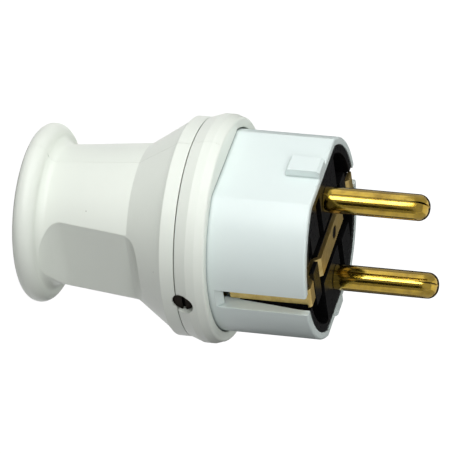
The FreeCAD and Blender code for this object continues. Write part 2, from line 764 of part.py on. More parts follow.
def cord_clamp_bar():
    """Bar with a ridge below that presses a cord on the tongue."""
    width = size("tongue_half_width") * 2
    thickness = size("clamp_bar_thickness")
    rise = size("clamp_bar_rise")
    rear = size("clamp_bar_place") - size("clamp_bar_width") / 2
    plate = block("clamp_plate", width, thickness, size("clamp_bar_width"), y=rise + thickness / 2, z=rear)
    ridge_length = (size("clamp_screw_place") - size("clamp_head_radius")) * 2
    ridge = rod("clamp_ridge", size("clamp_ridge_radius"), ridge_length, x=-ridge_length / 2, y=rise,
                z=size("clamp_bar_place"), rotation=ALONG_X)
    holes = []
    for name, side in (("near", 1), ("far", -1)):
        holes.append(rod(f"clamp_hole_{name}", size("clamp_screw_radius") + size("screw_clearance"),
                         thickness + CUT_MARGIN * 2, x=clamp_screw_place(side), y=rise - CUT_MARGIN,
                         z=size("clamp_bar_place"), rotation=ALONG_Y))
    return cut("clamp", joined("clamp_blank", [plate, ridge]), holes)


def cord_clamp_screw(name, side):
    """Screw through the bar into the tongue, ending flush with the tongue's underside."""
    seat = size("clamp_bar_rise") + size("clamp_bar_thickness")
    length = seat + size("tongue_top") + size("tongue_thickness")
    return slotted_screw(name, size("clamp_screw_radius"), length, size("clamp_head_radius"),
                         size("clamp_head_height"), clamp_screw_place(side), seat, size("clamp_bar_place"),
                         AGAINST_Y)


def carrier_screw(name, side):
    """Screw from behind through the bulkhead into the carrier."""
    length = size("bulkhead_thickness") + size("carrier_screw_bite")
    return slotted_screw(name, size("carrier_screw_radius"), length, size("carrier_head_radius"),
                         size("carrier_head_height"), size("carrier_screw_across") * side,
                         carrier_screw_along * side, size("bulkhead_rear"), FreeCAD.Rotation())


def collar_lock_screw():
    """Headless screw across the parting line, which keeps the collar from turning on the cover."""
    radius = size("lock_hole_radius") - size("lock_screw_clearance")
    length = size("lock_screw_length")
    plug = rod("lock_plug", radius, length)
    slot = block("lock_slot", radius * 2 + CUT_MARGIN, size("driver_slot_width"),
                 size("driver_slot_depth") + CUT_MARGIN, z=length - size("driver_slot_depth"))
    return place(cut("lock_screw", plug, [slot]), y=lock_floor, z=lock_height, rotation=ALONG_Y)


nodes = {
    "rear_cover": rear_cover(),
    "front_collar": front_collar(),
    "front_shell": front_shell(),
    "pin_carrier": pin_carrier(),
    "earth_strap": earth_strap(),
    "earth_screw": earth_screw(),
    "earth_clamp_plate": earth_clamp_plate(),
    "cord_clamp_bar": cord_clamp_bar(),
    "collar_lock_screw": collar_lock_screw(),
}
for pole, side in (("live", 1), ("neutral", -1)):
    nodes[f"{pole}_pin"] = contact_pin(f"{pole}_contact", side)
    nodes[f"{pole}_terminal"] = terminal(f"{pole}_block", side)
    nodes[f"{pole}_terminal_screw"] = terminal_screw(f"{pole}_wire_screw", side)
for end, side in (("near", 1), ("far", -1)):
    nodes[f"cord_clamp_screw_{end}"] = cord_clamp_screw(f"clamp_bolt_{end}", side)
    nodes[f"carrier_screw_{end}"] = carrier_screw(f"carrier_bolt_{end}", side)

for label, thing in nodes.items():
    thing.Label = label
doc.recompute()

for thing in doc.Objects:
    if "Invalid" in thing.State or "Error" in thing.State:
        raise RuntimeError(f"{thing.Label} did not build: {thing.State}")
for label, thing in nodes.items():
    if thing.Shape.isNull() or not thing.Shape.isValid() or len(thing.Shape.Solids) != 1:
        raise RuntimeError(f"{label} is not one sound solid")

os.makedirs("parts", exist_ok=True)
for label, thing in nodes.items():
    thing.Shape.exportStep(f"parts/{label}.step")
    box = thing.Shape.BoundBox
    print(f"{label:24s} {thing.Shape.Volume:9.1f} mm3   z {box.ZMin:6.2f} to {box.ZMax:6.2f}")
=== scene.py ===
# %% [markdown]
# # A type F mains plug that can be wired by hand
#
# The real plug is a stack of moulded pieces: a waisted grip, a collar that screws on it, and a flatted
# front shell that holds a black insert with two rolled brass pins and an earth strap. The solids come from
# the CAD model, so this lesson only adds what a CAD solid lacks: softened edges, mould lines, rolled seams,
# screw threads, and surfaces that look like the real materials. The plug stands on its rear flange, and the
# camera is rolled so that it lies level in the picture.

# %% The fixed frame
import json
import math

import bmesh
import bpy
from mathutils import Matrix, Vector


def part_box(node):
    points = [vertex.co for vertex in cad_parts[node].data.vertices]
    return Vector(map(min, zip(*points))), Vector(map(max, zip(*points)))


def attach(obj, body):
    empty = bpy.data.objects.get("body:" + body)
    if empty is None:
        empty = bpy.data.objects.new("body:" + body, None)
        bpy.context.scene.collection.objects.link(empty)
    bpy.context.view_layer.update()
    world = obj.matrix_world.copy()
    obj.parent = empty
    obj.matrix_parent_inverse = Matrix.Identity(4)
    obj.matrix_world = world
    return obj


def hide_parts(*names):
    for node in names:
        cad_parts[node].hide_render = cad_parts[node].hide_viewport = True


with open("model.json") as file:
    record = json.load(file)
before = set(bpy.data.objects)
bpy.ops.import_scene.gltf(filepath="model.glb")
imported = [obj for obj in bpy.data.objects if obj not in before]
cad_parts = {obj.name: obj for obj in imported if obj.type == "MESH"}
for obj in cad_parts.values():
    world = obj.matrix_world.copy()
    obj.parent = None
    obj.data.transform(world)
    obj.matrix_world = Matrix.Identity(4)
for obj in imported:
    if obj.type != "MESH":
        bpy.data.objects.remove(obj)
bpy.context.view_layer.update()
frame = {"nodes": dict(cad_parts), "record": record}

MM = 0.001
nodes = frame["nodes"]

# %% [markdown]
# ## Small helpers
#
# Every material below is a tree of nodes. One helper adds a node, sets its options and joins its inputs,
# which keeps each finish short enough to read as a recipe. Colours are written as the sRGB hex values that
# one would read from a picture, and turned to the linear values that the renderer works in. A Mix node has
# sockets for numbers, vectors and colours under the same names, so the ones for colours are taken by their
# numbers.

# %% Helpers for colours and nodes
FIRST_COLOUR = 6  # a Mix node's inputs and output when it mixes colours
SECOND_COLOUR = 7
MIXED_COLOUR = 2


def linear(hex_colour):
    """An sRGB hex colour as linear red, green, blue and alpha."""
    channels = [int(hex_colour[i:i + 2], 16) / 255 for i in (1, 3, 5)]
    return [c / 12.92 if c <= 0.04045 else ((c + 0.055) / 1.055) ** 2.4 for c in channels] + [1.0]


def add(tree, kind, inputs=None, **settings):
    """Add a node. Inputs are keyed by name or number, and hold a value, a socket, or a node's first output."""
    made = tree.nodes.new(kind)
    for name, value in settings.items():
        setattr(made, name, value)
    for key, value in (inputs or {}).items():
        if isinstance(value, bpy.types.Node):
            value = value.outputs[0]
        if isinstance(value, bpy.types.NodeSocket):
            tree.links.new(value, made.inputs[key])
        else:
            made.inputs[key].default_value = value
    return made


def new_finish(name, shader_values):
    """A new material with its shader, and Object coordinates turned to millimetres."""
    material = bpy.data.materials.new(name)
    material.use_nodes = True
    tree = material.node_tree
    tree.nodes.clear()
    shader = add(tree, "ShaderNodeBsdfPrincipled", shader_values)
    add(tree, "ShaderNodeOutputMaterial", {"Surface": shader.outputs["BSDF"]})
    place = add(tree, "ShaderNodeTexCoord")
    to_mm = 1 / MM
    millimetres = add(tree, "ShaderNodeMapping", {"Vector": place.outputs["Object"],
                                                  "Scale": (to_mm, to_mm, to_mm)})
    return material, tree, shader, millimetres.outputs["Vector"]


print("pure white is", linear("#FFFFFF"))

# %% [markdown]
# ## White moulded ABS
#
# The grip and collar are injection moulded ABS in a warm white, and the front shell is a slightly cooler
# and glossier white. A moulded skin isn't flat colour: the melt leaves slow, faint clouds, the tool leaves
# a very fine grain, thick places sink a little, and a few dark specks are baked in. The corners are greyed
# with painted shade, which an ambient occlusion node finds from the shape itself. A moulded edge is
# never knife sharp either. A Bevel modifier could round it, but the scoops' borders run through triangles
# smaller than the round, so a Bevel node turns the surface's normal over each edge in place of it.

# %% The two white plastics
ABS_IOR = 1.53
RELIEF_MM = 0.02  # height of the fine marks on a skin, of plastic or metal
CLOUD_MM = 11.0  # size of the clouds in the colour
CLOUD_GLOSS = (-0.05, 0.07)  # change of the roughness from one side of a cloud to the other
GRAIN_MM = 0.4  # the real tool grain is near 0.1 mm; drawn coarser so that it shows
GRAIN_STRENGTH = 0.05
SINK_MM = 8.0  # spacing of the shallow sink marks
SINK_STRENGTH = 0.3
SPECK_CELL_MM = 5.5  # one speck at most in a cell of this size
SPECK_RADIUS = 0.016  # as a share of that cell
SPECK_BAR = 0.72  # a cell has its speck where its random number is above this
SPECK_COLOUR = "#8C8A80"
CORNER_MM = 0.8  # how far the painted corner shade reaches out of a corner
CORNER_OPEN = (0.25, 0.85)  # open share of the surroundings, where the grey is full and where it ends
CORNER_SHARE = 0.8  # full painted shade


def moulded_white(name, pale, deep, corner, roughness, edge_mm):
    """A moulded white plastic from two cloud colours, a colour of painted shade for the corners, a roughness
    and the edges' round.
    """
    material, tree, shader, mm = new_finish(name, {"IOR": ABS_IOR})
    clouds = add(tree, "ShaderNodeTexNoise", {"Vector": mm, "Scale": 1 / CLOUD_MM, "Detail": 3.0})
    colour = add(tree, "ShaderNodeMix", {"Factor": clouds.outputs["Fac"], FIRST_COLOUR: linear(pale),
                                         SECOND_COLOUR: linear(deep)}, data_type="RGBA")
    # painted shade: the colour turns to the corner colour where the surface's surroundings close in
    corners = add(tree, "ShaderNodeAmbientOcclusion", {"Distance": CORNER_MM * MM}, samples=8)
    shade = add(tree, "ShaderNodeMapRange", {"Value": corners.outputs["AO"], "From Min": CORNER_OPEN[0],
                                             "From Max": CORNER_OPEN[1], "To Min": CORNER_SHARE, "To Max": 0.0})
    with_painted_shade = add(tree, "ShaderNodeMix", {"Factor": shade, FIRST_COLOUR: colour.outputs[MIXED_COLOUR],
                                          SECOND_COLOUR: linear(corner)}, data_type="RGBA")
    cells = add(tree, "ShaderNodeTexVoronoi", {"Vector": mm, "Scale": 1 / SPECK_CELL_MM})
    near = add(tree, "ShaderNodeMath", {0: cells.outputs["Distance"], 1: SPECK_RADIUS}, operation="LESS_THAN")
    chosen = add(tree, "ShaderNodeSeparateColor", {"Color": cells.outputs["Color"]})
    few = add(tree, "ShaderNodeMath", {0: chosen.outputs["Red"], 1: SPECK_BAR}, operation="GREATER_THAN")
    speck = add(tree, "ShaderNodeMath", {0: near, 1: few}, operation="MULTIPLY")
    specked = add(tree, "ShaderNodeMix", {"Factor": speck, FIRST_COLOUR: with_painted_shade.outputs[MIXED_COLOUR],
                                          SECOND_COLOUR: linear(SPECK_COLOUR)}, data_type="RGBA")
    tree.links.new(specked.outputs[MIXED_COLOUR], shader.inputs["Base Color"])
    gloss = add(tree, "ShaderNodeMapRange", {"Value": clouds.outputs["Fac"],
                                             "To Min": roughness + CLOUD_GLOSS[0],
                                             "To Max": roughness + CLOUD_GLOSS[1]})
    tree.links.new(gloss.outputs[0], shader.inputs["Roughness"])
    grain = add(tree, "ShaderNodeTexNoise", {"Vector": mm, "Scale": 1 / GRAIN_MM, "Detail": 2.0})
    sinks = add(tree, "ShaderNodeTexNoise", {"Vector": mm, "Scale": 1 / SINK_MM, "Detail": 1.0})
    soft_edge = add(tree, "ShaderNodeBevel", {"Radius": edge_mm * MM}, samples=8)
    grain_bump = add(tree, "ShaderNodeBump", {"Height": grain.outputs["Fac"], "Strength": GRAIN_STRENGTH,
                                              "Distance": RELIEF_MM * MM, "Normal": soft_edge})
    sink_bump = add(tree, "ShaderNodeBump", {"Height": sinks.outputs["Fac"], "Strength": SINK_STRENGTH,
                                             "Distance": RELIEF_MM * MM, "Normal": grain_bump})
    tree.links.new(sink_bump.outputs["Normal"], shader.inputs["Normal"])
    return material


# the third colour of each plastic is the painted shade in its corners
cover_abs = moulded_white("abs_moulded_warm_white", "#EBF1E8", "#F1F6ED", "#9DA296",
                          roughness=0.36, edge_mm=0.3)
shell_abs = moulded_white("abs_moulded_cool_white", "#E0ECEA", "#E7F2EF", "#98A4A3",
                          roughness=0.30, edge_mm=0.1)
print("white plastics:", cover_abs.name, shell_abs.name)

# %% [markdown]
# ## Black phenolic
#
# The insert and the cord clamp bar are pressed from a black phenolic resin. It comes out of a polished tool
# with a gloss, a slight orange peel, and a little pale dust that dulls it in patches. The pressed edges are
# broken very finely, which a Bevel node in the material is enough for.

# %% The black plastic
PHENOLIC_IOR = 1.6
PHENOLIC_SPECULAR = 0.2  # the filler in the resin takes much of the gloss that the IOR would give
PEEL_MM = 1.6  # spacing of the orange peel
PEEL_STRENGTH = 0.6
PEEL_RELIEF_MM = 0.05
PRESSED_EDGE_MM = 0.12
DUST_MM = 0.9  # size of the dust patches
DUST_RANGE = (0.58, 0.80)  # of the noise, from clean to dusty
DUST_SHARE = 0.4  # full dust
DULL_RANGE = (0.3, 0.8)  # of the noise, from glossy to dull
DULL_ROUGHNESS = (0.22, 0.45)

carrier_phenolic, tree, shader, mm = new_finish("phenolic_pressed_black", {
    "IOR": PHENOLIC_IOR, "Specular IOR Level": PHENOLIC_SPECULAR})
dust = add(tree, "ShaderNodeTexNoise", {"Vector": mm, "Scale": 1 / DUST_MM, "Detail": 4.0, "Roughness": 0.65})
dust_share = add(tree, "ShaderNodeMapRange", {"Value": dust.outputs["Fac"], "From Min": DUST_RANGE[0],
                                              "From Max": DUST_RANGE[1], "To Min": 0.0, "To Max": DUST_SHARE})
black = add(tree, "ShaderNodeMix", {"Factor": dust_share, FIRST_COLOUR: linear("#0B0B0C"),
                                    SECOND_COLOUR: linear("#2C2D2D")}, data_type="RGBA")
tree.links.new(black.outputs[MIXED_COLOUR], shader.inputs["Base Color"])
dulled = add(tree, "ShaderNodeMapRange", {"Value": dust.outputs["Fac"], "From Min": DULL_RANGE[0],
                                          "From Max": DULL_RANGE[1], "To Min": DULL_ROUGHNESS[0],
                                          "To Max": DULL_ROUGHNESS[1]})
tree.links.new(dulled.outputs[0], shader.inputs["Roughness"])
peel = add(tree, "ShaderNodeTexNoise", {"Vector": mm, "Scale": 1 / PEEL_MM, "Detail": 1.0})
broken_edge = add(tree, "ShaderNodeBevel", {"Radius": PRESSED_EDGE_MM * MM}, samples=6)
peel_bump = add(tree, "ShaderNodeBump", {"Height": peel.outputs["Fac"], "Strength": PEEL_STRENGTH,
                                         "Distance": PEEL_RELIEF_MM * MM, "Normal": broken_edge})
tree.links.new(peel_bump.outputs["Normal"], shader.inputs["Normal"])
print("black plastic:", carrier_phenolic.name)

# %% [markdown]
# ## Brass, polished and dull
#
# The pins are rolled from sheet brass and tumbled bright. Drawing and rolling leave fine lines along the
# pin, and fingers leave brown tarnish in soft patches. A film of oil is left on the polish, so the
# highlights are paler than the metal: a coat on the shader gives that. The seams are darkened with painted
# shade, which an ambient occlusion node that looks at the piece alone finds. The strap is stamped from the
# same metal but isn't polished, so it is paler, duller and more evenly tarnished. Both use one recipe with
# the lines turned along the piece, because only the numbers differ.

# %% The two kinds of brass
LINE_MM = 0.22  # width of a rolling line; real ones are finer, drawn so that they show
LINE_STRENGTH = 0.35
LINE_TARNISH = 0.35  # how much the lines add to the tarnish patches
TARNISH_MM = 2.6  # size of the tarnish patches
FILM_ROUGHNESS = 0.06  # of the oil that is left on the polished metal
CREVICE_MM = 0.6  # how near the walls of a crevice are that gets painted shade
SEAM_SHADE_OPEN = (0.25, 0.6)  # open share of the surroundings, from full painted shade to none
# the colour of the painted shade in the seams
SEAM_SHADE_COLOUR = "#1E1606"


def brass(name, bright, tarnish, lines_along, roughness, tarnish_range, line_length_mm, film):
    """Brass with lines along one axis. Roughness is (clean, tarnished), and so is the tarnish range."""
    material, tree, shader, mm = new_finish(name, {"Metallic": 1.0, "Coat Weight": film,
                                                   "Coat Roughness": FILM_ROUGHNESS})
    stretch = [1 / LINE_MM] * 3
    stretch["XYZ".index(lines_along)] = 1 / line_length_mm
    along = add(tree, "ShaderNodeMapping", {"Vector": mm, "Scale": stretch})
    lines = add(tree, "ShaderNodeTexNoise", {"Vector": along, "Scale": 1.0, "Detail": 3.0})
    patches = add(tree, "ShaderNodeTexNoise", {"Vector": mm, "Scale": 1 / TARNISH_MM, "Detail": 4.0,
                                               "Roughness": 0.6})
    mixed = add(tree, "ShaderNodeMath", {0: lines.outputs["Fac"], 1: LINE_TARNISH, 2: patches.outputs["Fac"]},
                operation="MULTIPLY_ADD")
    share = add(tree, "ShaderNodeMapRange", {"Value": mixed, "From Min": tarnish_range[0],
                                             "From Max": tarnish_range[1]})
    colour = add(tree, "ShaderNodeMix", {"Factor": share, FIRST_COLOUR: linear(bright),
                                         SECOND_COLOUR: linear(tarnish)}, data_type="RGBA")
    # painted shade: the colour darkens where the walls of a seam are near
    crevice = add(tree, "ShaderNodeAmbientOcclusion", {"Distance": CREVICE_MM * MM}, samples=8,
                  only_local=True)
    painted_seam_shade = add(tree, "ShaderNodeMapRange", {"Value": crevice.outputs["AO"], "From Min": SEAM_SHADE_OPEN[0],
                                             "From Max": SEAM_SHADE_OPEN[1], "To Min": 1.0, "To Max": 0.0})
    seam_shaded_colour = add(tree, "ShaderNodeMix", {"Factor": painted_seam_shade, FIRST_COLOUR: colour.outputs[MIXED_COLOUR],
                                        SECOND_COLOUR: linear(SEAM_SHADE_COLOUR)}, data_type="RGBA")
    tree.links.new(seam_shaded_colour.outputs[MIXED_COLOUR], shader.inputs["Base Color"])
    gloss = add(tree, "ShaderNodeMapRange", {"Value": share, "To Min": roughness[0], "To Max": roughness[1]})
    tree.links.new(gloss.outputs[0], shader.inputs["Roughness"])
    bump = add(tree, "ShaderNodeBump", {"Height": lines.outputs["Fac"], "Strength": LINE_STRENGTH,
                                        "Distance": RELIEF_MM * MM})
    tree.links.new(bump.outputs["Normal"], shader.inputs["Normal"])
    return material


pin_brass = brass("brass_rolled_polished", "#CEAC38", "#9E7F1A", "Z", roughness=(0.07, 0.2),
                  tarnish_range=(0.55, 0.95), line_length_mm=14.0, film=0.9)
strap_brass = brass("brass_stamped_dull", "#E4CA86", "#BFA25A", "Y", roughness=(0.40, 0.55),
                    tarnish_range=(0.6, 1.0), line_length_mm=6.0, film=0.0)
print("brass:", pin_brass.name, strap_brass.name)

# %% [markdown]
# ## Plated steel, and dark steel with painted shade
#
# The screws and the small clamp plate are steel with a thin zinc plating, which is a cool grey with a
# slightly cloudy gloss. The lock screw and the earth screw are dark steel in a brownish black, which also
# paints the shade in the deep holes they sit in. Both are a skin on steel, so they share one recipe:
# clouds in the colour and in the gloss.

# %% The two steels
SKIN_CLOUD_MM = 0.8  # size of the clouds in the skin
SKIN_STRENGTH = 0.3


def skinned_steel(name, pale, dull, roughness):
    """Steel with a thin skin of two colours; roughness is (pale, dull)."""
    material, tree, shader, mm = new_finish(name, {"Metallic": 1.0})
    clouds = add(tree, "ShaderNodeTexNoise", {"Vector": mm, "Scale": 1 / SKIN_CLOUD_MM, "Detail": 3.0})
    colour = add(tree, "ShaderNodeMix", {"Factor": clouds.outputs["Fac"], FIRST_COLOUR: linear(pale),
                                         SECOND_COLOUR: linear(dull)}, data_type="RGBA")
    tree.links.new(colour.outputs[MIXED_COLOUR], shader.inputs["Base Color"])
    gloss = add(tree, "ShaderNodeMapRange", {"Value": clouds.outputs["Fac"], "To Min": roughness[0],
                                             "To Max": roughness[1]})
    tree.links.new(gloss.outputs[0], shader.inputs["Roughness"])
    bump = add(tree, "ShaderNodeBump", {"Height": clouds.outputs["Fac"], "Strength": SKIN_STRENGTH,
                                        "Distance": RELIEF_MM * MM})
    tree.links.new(bump.outputs["Normal"], shader.inputs["Normal"])
    return material


screw_steel = skinned_steel("steel_zinc_plated", "#B9BBBC", "#9C9A94", roughness=(0.25, 0.5))
# dark steel whose near-black colour is also painted shade for the lock screw's and earth screw's holes
dark_steel = skinned_steel("steel_dark_and_painted_shade", "#241F1A", "#15120F", roughness=(0.4, 0.6))
print("steels:", screw_steel.name, dark_steel.name)

# %% [markdown]
# ## A finish for each node
#
# The record names a material slot for each CAD node. Each node gets its slot's finish, and so does the
# piece below that stands for it, which keeps the two alike.

# %% Finishes on the CAD nodes
finish_of_slot = {
    "cover_plastic": cover_abs, "shell_plastic": shell_abs, "carrier_plastic": carrier_phenolic,
    "pin_brass": pin_brass, "strap_brass": strap_brass, "screw_steel": screw_steel, "dark_steel": dark_steel,
}
slot_of_node = {row["node"]: row["material_slot"] for row in frame["record"]["subparts"]}
for name, node in nodes.items():
    node.data.materials.clear()
    node.data.materials.append(finish_of_slot[slot_of_node[name]])
print("finishes given to", len(nodes), "CAD nodes")

# %% [markdown]
# ## Merged copies
#
# A CAD solid arrives as loose triangles with normals of their own. A merged copy has joined corners and new
# normals, weighed by the faces' area, so that curved faces shade smoothly, flat ones stay flat and real
# edges stay sharp. The copy has the same form as the solid, stands for it in the picture, and leaves it for
# collision, hidden. Stamped and cast metal pieces have few, long edges, so a Bevel modifier breaks those in
# the mesh itself.

# %% Helpers for merged copies and finished pieces
JOIN_MM = 0.001  # corners as near as this are one
SMOOTH_ANGLE = math.radians(17.5)  # the collar's two facets meet its crest at a little more
BREAK_ANGLE = math.radians(28)  # edges sharper than this are broken
BREAK_STEPS = 2


def finished(rough, piece_name, slot, *node_names):
    """Turn a built object into a plain mesh piece with a slot's finish, which may stand for CAD nodes."""
    depsgraph = bpy.context.evaluated_depsgraph_get()
    mesh = bpy.data.meshes.new_from_object(rough.evaluated_get(depsgraph), preserve_all_data_layers=True,
                                           depsgraph=depsgraph)
    bpy.data.objects.remove(rough)
    mesh.name = piece_name
    mesh.materials.clear()
    mesh.materials.append(finish_of_slot[slot])
    piece = bpy.data.objects.new(piece_name, mesh)
    bpy.context.scene.collection.objects.link(piece)
    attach(piece, "root")
    if node_names:
        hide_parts(*node_names)
    print(piece_name, "faces:", len(mesh.polygons))
    return piece


def merged(node_name, piece_name, edge_mm=0.0):
    """A merged copy of a CAD node that shades smoothly, with its edges broken by a width where one is given."""
    mesh = nodes[node_name].data.copy()
    mesh.attributes.remove(mesh.attributes["custom_normal"])
    made = bmesh.new()
    made.from_mesh(mesh)
    bmesh.ops.remove_doubles(made, verts=made.verts, dist=JOIN_MM * MM)
    made.to_mesh(mesh)
    made.free()
    mesh.shade_smooth()
    mesh.set_sharp_from_angle(angle=SMOOTH_ANGLE)
    rough = bpy.data.objects.new(piece_name + "_rough", mesh)
    bpy.context.scene.collection.objects.link(rough)
    if edge_mm:
        bevel = rough.modifiers.new("broken edge", "BEVEL")
        bevel.limit_method = "ANGLE"
        bevel.angle_limit = BREAK_ANGLE
        bevel.width = edge_mm * MM
        bevel.segments = BREAK_STEPS
    even = rough.modifiers.new("even faces", "WEIGHTED_NORMAL")
    even.keep_sharp = True
    return finished(rough, piece_name, slot_of_node[node_name], node_name)


# %% [markdown]
# ## Grip, collar and shell
#
# These three white mouldings carry the whole look, and the black insert fills the shell's front. Their
# shapes are right as they are, so only the shading changes.

# %% The mouldings
grip = merged("rear_cover", "grip_moulding")
collar = merged("front_collar", "collar_moulding")
merged("front_shell", "shell_moulding")
merged("pin_carrier", "insert_pressing")
merged("cord_clamp_bar", "clamp_bar_pressing", edge_mm=0.25)

# %% [markdown]
# ## Strap, terminals and small metal
#
# The strap was punched, and a punch rolls one edge over slightly, which shows as a bright line on the
# brass. The terminals are sawn from bar and tumbled, so their edges are broken wider.

# %% The metal pieces
merged("earth_strap", "strap_stamping", edge_mm=0.1)
merged("earth_clamp_plate", "earth_plate_stamping", edge_mm=0.15)
merged("live_terminal", "live_terminal_block", edge_mm=0.25)
merged("neutral_terminal", "neutral_terminal_block", edge_mm=0.25)
merged("collar_lock_screw", "lock_screw_turned", edge_mm=0.12)

# %% [markdown]
# ## Rolled pins
#
# A hollow pin is rolled from sheet brass and its end is drawn to a dome. The joint stays visible as a
# hairline along the pin, and opens to a slit over the dome. A turned solid can't show that, so the pin is
# built ring by ring: each ring has four extra points at the seam, the two inner ones pushed in. On the real
# pin the hairline is finer; it is drawn wide enough to show.

# %% The rings of a pin
PIN_SHANK_MM = 2.1  # radius of the part inside the insert
PIN_CHAMFER_MM = 0.08  # where the pin comes out of the insert
PIN_DOME_MM = 2.0
WALL_RINGS = 24
DOME_RINGS = 12


def pin_profile(foot, tip, radius, shoulder):
    """Radius and height of each ring in millimetres, from the hidden foot to the tip."""
    wall_foot = shoulder + PIN_CHAMFER_MM
    wall = tip - PIN_DOME_MM - shoulder
    profile = [(PIN_SHANK_MM, foot), (PIN_SHANK_MM, shoulder), (radius - PIN_CHAMFER_MM, shoulder)]
    profile += [(radius, wall_foot + wall * k / WALL_RINGS) for k in range(WALL_RINGS)]
    for k in range(DOME_RINGS + 1):
        turn_up = math.radians(90) * k / DOME_RINGS
        profile.append((radius - PIN_DOME_MM * (1 - math.cos(turn_up)),
                        tip - PIN_DOME_MM * (1 - math.sin(turn_up))))
    return profile


# %% The seam in a ring
PIN_COLUMNS = 80
HAIRLINE_MM = (0.15, 0.10)  # width and depth along the pin
SLIT_MM = (0.40, 0.60)  # width and depth over the dome
SLIT_LENGTH_MM = 3.4  # from the tip back to where the slit starts to open
SLIT_TAPER_MM = 2.4
SEAM_START_MM = 0.1  # how far out of the insert the seam begins
SEAM_FLOOR = 0.55  # width of the seam's floor, as a share of its mouth
SEAM_DEEPEST = 0.6  # as a share of the ring's radius
SEAM_WIDEST = 0.9  # half of its mouth, in radians


def seam_ring(ring_radius, height, shoulder, tip):
    """Angle from the seam's middle, and inward push in millimetres, of each point of a ring."""
    opening = (height - (tip - SLIT_LENGTH_MM)) / SLIT_TAPER_MM
    opening = min(max(opening, 0.0), 1.0)
    width = HAIRLINE_MM[0] + (SLIT_MM[0] - HAIRLINE_MM[0]) * opening
    depth = HAIRLINE_MM[1] + (SLIT_MM[1] - HAIRLINE_MM[1]) * opening
    depth = min(depth, ring_radius * SEAM_DEEPEST) if height > shoulder + SEAM_START_MM else 0.0
    edge = min(width / 2 / ring_radius, SEAM_WIDEST)
    step = (2 * math.pi - 2 * edge) / (PIN_COLUMNS + 1)
    seam = [(-edge, 0.0), (-edge * SEAM_FLOOR, depth), (edge * SEAM_FLOOR, depth), (edge, 0.0)]
    return seam + [(edge + step * k, 0.0) for k in range(1, PIN_COLUMNS + 1)]


# %% The rolled pins
PIN_SMOOTH_ANGLE = math.radians(38)  # the dome's rings stay smooth, and the seam's mouth stays sharp


def rolled_pin(node_name, piece_name, seam_degrees):
    """A pin with its seam at that angle from X towards Y, in the place of a CAD pin."""
    low, high = (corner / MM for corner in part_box(node_name))
    middle_x = (low.x + high.x) / 2
    radius = (high.x - low.x) / 2
    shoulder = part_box("pin_carrier")[1].z / MM
    made = bmesh.new()
    rings = []
    for ring_radius, height in pin_profile(low.z, high.z, radius, shoulder):
        ring = []
        for angle, pushed in seam_ring(ring_radius, height, shoulder, high.z):
            angle += math.radians(seam_degrees)
            r = ring_radius - pushed
            spot = (middle_x + r * math.cos(angle), r * math.sin(angle), height)
            ring.append(made.verts.new([c * MM for c in spot]))
        rings.append(ring)
    for lower, upper in zip(rings, rings[1:]):
        for k in range(len(lower)):
            n = (k + 1) % len(lower)
            made.faces.new((lower[k], lower[n], upper[n], upper[k]))
    made.faces.new(reversed(rings[0]))
    tip = made.verts.new((middle_x * MM, 0, high.z * MM))
    last = rings[-1]
    for k in range(len(last)):
        made.faces.new((last[k], last[(k + 1) % len(last)], tip))
    bmesh.ops.recalc_face_normals(made, faces=made.faces)
    mesh = bpy.data.meshes.new(piece_name)
    made.to_mesh(mesh)
    made.free()
    mesh.shade_smooth()
    mesh.set_sharp_from_angle(angle=PIN_SMOOTH_ANGLE)
    rough = bpy.data.objects.new(piece_name + "_rough", mesh)
    bpy.context.scene.collection.objects.link(rough)
    return finished(rough, piece_name, slot_of_node[node_name], node_name)


rolled_pin("live_pin", "live_pin_rolled", seam_degrees=24)
rolled_pin("neutral_pin", "neutral_pin_rolled", seam_degrees=34)

# %% [markdown]
# ## Slotted screws
#
# Seven small slotted screws hold the wires, the cord clamp and the insert. They are the same screw in four
# sizes, so one Geometry Nodes tree makes them: a core, a head with a turned edge, a driver slot cut by a
# boolean, and a thread that is a spiral curve given a small round section. Each one is then turned to a
# plain mesh and put where the CAD screw is. In the tree, the head's seat is at the origin, the thread goes
# up from it and the head goes down.

# %% The screw tree and its sizes
SCREW_SIZES = ["Thread Radius", "Thread Length", "Thread Pitch", "Thread Depth", "Head Radius", "Head Height",
               "Slot Width", "Slot Depth"]

screw_tree = bpy.data.node_groups.new("slotted_screw", "GeometryNodeTree")
screw_tree.is_modifier = True
sockets = {}
for size_name in SCREW_SIZES:
    sockets[size_name] = screw_tree.interface.new_socket(size_name, in_out="INPUT",
                                                         socket_type="NodeSocketFloat")
sockets["Finish"] = screw_tree.interface.new_socket("Finish", in_out="INPUT",
                                                    socket_type="NodeSocketMaterial")
screw_tree.interface.new_socket("Geometry", in_out="OUTPUT", socket_type="NodeSocketGeometry")
sizes = add(screw_tree, "NodeGroupInput").outputs
print("screw sizes:", SCREW_SIZES)

# %% The screw's core and head
CORE_SIDES = 32
HEAD_SIDES = 48
HEAD_EDGE = 0.25  # height of the head's turned edge, as a share of the head
HEAD_TAPER = 0.88  # radius of its end, as a share of the head's

core_radius = add(screw_tree, "ShaderNodeMath", {0: sizes["Thread Radius"], 1: sizes["Thread Depth"]},
                  operation="SUBTRACT")
core = add(screw_tree, "GeometryNodeMeshCylinder", {"Vertices": CORE_SIDES, "Radius": core_radius,
                                                    "Depth": sizes["Thread Length"]})
half_length = add(screw_tree, "ShaderNodeMath", {0: sizes["Thread Length"], 1: 0.5}, operation="MULTIPLY")
core_place = add(screw_tree, "ShaderNodeCombineXYZ", {"Z": half_length})
core_up = add(screw_tree, "GeometryNodeTransform", {"Geometry": core, "Translation": core_place})

